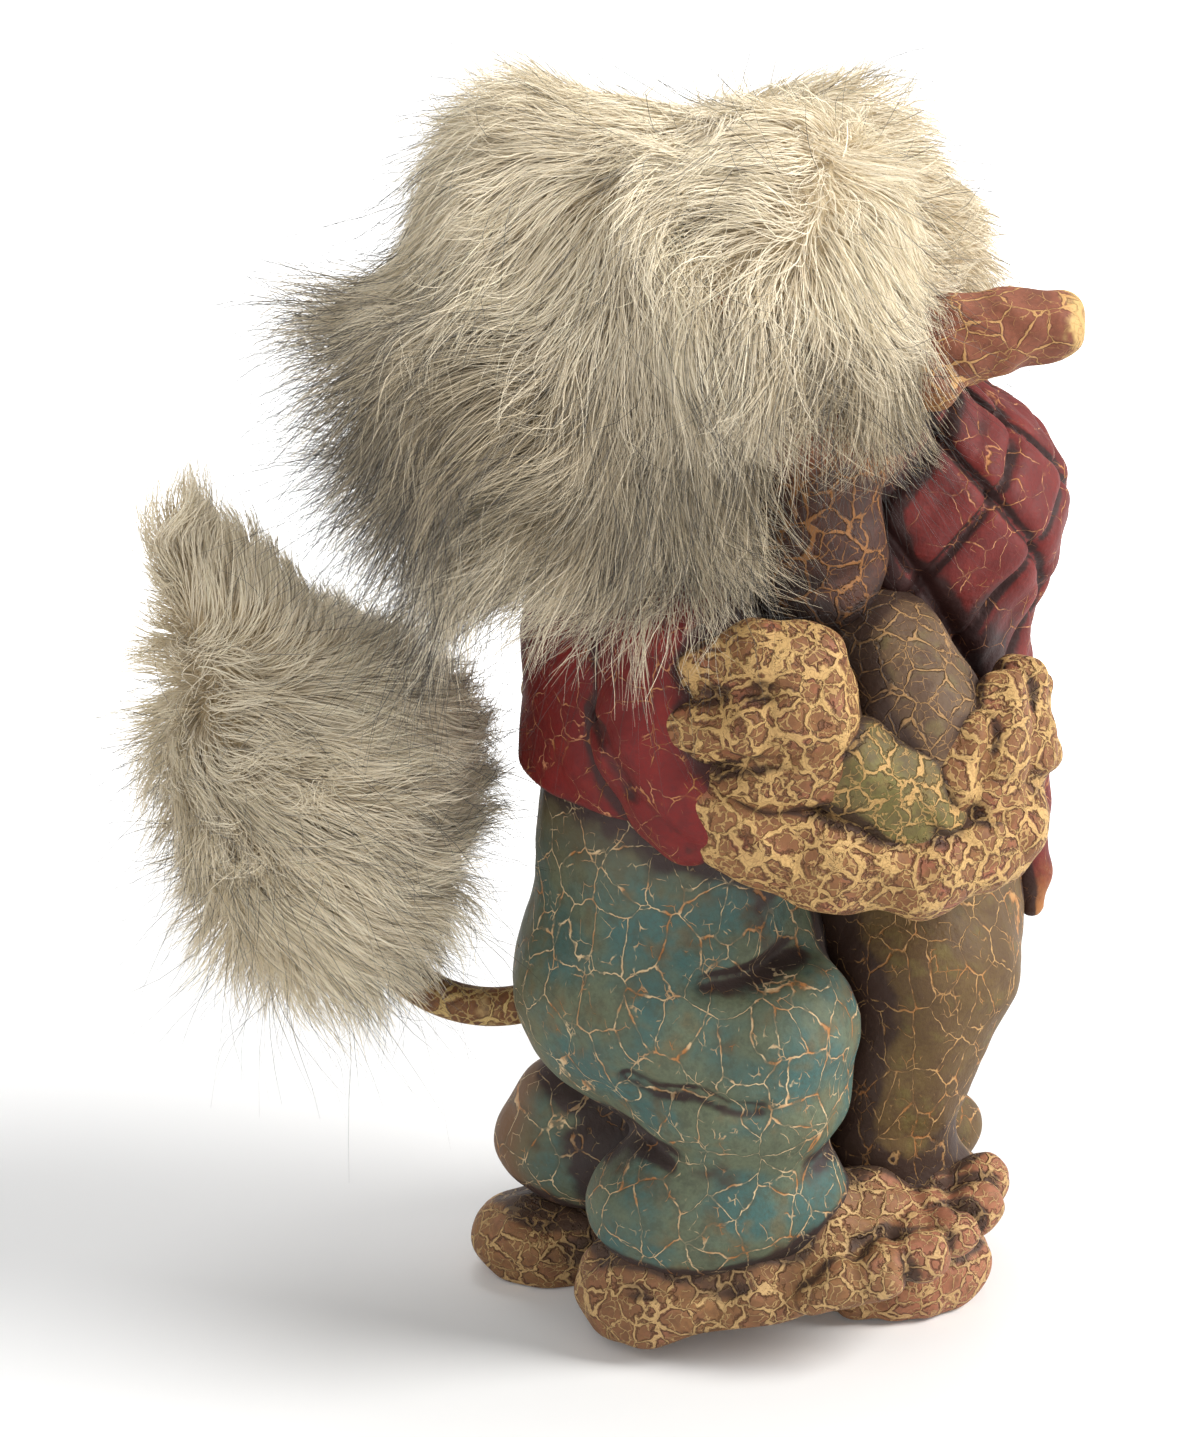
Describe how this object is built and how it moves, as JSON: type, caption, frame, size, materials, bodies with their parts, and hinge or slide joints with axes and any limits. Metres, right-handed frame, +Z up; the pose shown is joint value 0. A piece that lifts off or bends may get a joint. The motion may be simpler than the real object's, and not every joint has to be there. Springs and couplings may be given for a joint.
{
  "type": "norwegian troll figure",
  "caption": "Pair of hugging folk trolls in crackled painted rubber, with glued long-pile fur wigs and a bendable tail ending in a fur tuft.",
  "frame": {"origin": "middle of the bounding box's footprint, on the surface that the soles rest on", "axes": "+X the way the blue troll with the tail faces, +Y to its left, +Z up"},
  "size_m": [0.151, 0.092, 0.2049],
  "materials": {
    "grey_fur": "matte",
    "tail_wire_steel": "satin",
    "brown_rubber": "matte",
    "eye_glass": "gloss",
    "blue_green_paint": "matte",
    "olive_paint": "matte",
    "red_paint": "matte",
    "dark_red_paint": "matte",
    "rosy_skin_paint": "matte",
    "tan_skin_paint": "matte"
  },
  "bodies": {
    "root": {"blue_troll_eyes": "eye_glass", "blue_troll_head": "tan_skin_paint", "blue_troll_jacket": "dark_red_paint", "blue_troll_left_foot": "tan_skin_paint", "blue_troll_left_forearm": "tan_skin_paint", "blue_troll_left_hand": "tan_skin_paint", "blue_troll_left_sleeve": "dark_red_paint", "blue_troll_nose": "rosy_skin_paint", "blue_troll_right_foot": "tan_skin_paint", "blue_troll_right_forearm": "tan_skin_paint", "blue_troll_right_hand": "tan_skin_paint", "blue_troll_right_sleeve": "dark_red_paint", "blue_troll_trousers": "blue_green_paint", "blue_troll_wig": "grey_fur", "olive_troll_eyes": "eye_glass", "olive_troll_head": "tan_skin_paint", "olive_troll_left_foot": "tan_skin_paint", "olive_troll_left_forearm": "olive_paint", "olive_troll_left_hand": "tan_skin_paint", "olive_troll_left_sleeve": "olive_paint", "olive_troll_nose": "rosy_skin_paint", "olive_troll_quilted_jacket": "red_paint", "olive_troll_right_foot": "tan_skin_paint", "olive_troll_right_forearm": "olive_paint", "olive_troll_right_hand": "tan_skin_paint", "olive_troll_right_sleeve": "olive_paint", "olive_troll_trousers": "olive_paint", "olive_troll_wig": "grey_fur"},
    "tail": {"tail_stem": "brown_rubber", "tail_wire": "tail_wire_steel"},
    "tuft": {"tail_tuft": "grey_fur", "tuft_core": "brown_rubber"}
  },
  "joints": [
    {"name": "tail_swing", "type": "hinge", "parent": "root", "child": "tail", "pos_m": [-0.01, -0.008, 0.0535], "axis": [0, 0, 1], "range_deg": [-25, 25]},
    {"name": "tuft_bend", "type": "hinge", "parent": "tail", "child": "tuft", "pos_m": [-0.03, -0.008, 0.0585], "axis": [0, 1, 0], "range_deg": [-25, 2]}
  ]
}
